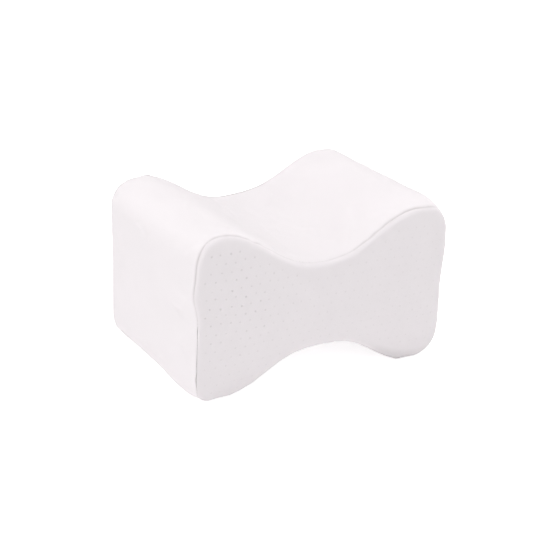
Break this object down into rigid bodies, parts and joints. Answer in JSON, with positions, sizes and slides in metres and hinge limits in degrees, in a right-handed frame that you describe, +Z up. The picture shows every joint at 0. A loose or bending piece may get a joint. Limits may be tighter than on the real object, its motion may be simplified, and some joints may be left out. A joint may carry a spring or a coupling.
{
  "type": "knee pillow",
  "caption": "Hourglass knee pillow: a filled cushion with a leg saddle above and below, in a white knit cover.",
  "frame": {"origin": "on the surface the pillow stands on, under the middle of its length and depth", "axes": "+X along the pillow's length, +Y from its front panel to its back panel, +Z up"},
  "size_m": [0.252, 0.186, 0.1526],
  "materials": {
    "cover_band": "smooth matte knit",
    "cover_panel": "matte knit with small pinholes"
  },
  "bodies": {
    "root": {"cushion_body": "cover_band", "front_panel": "cover_panel", "back_panel": "cover_panel"}
  },
  "joints": []
}
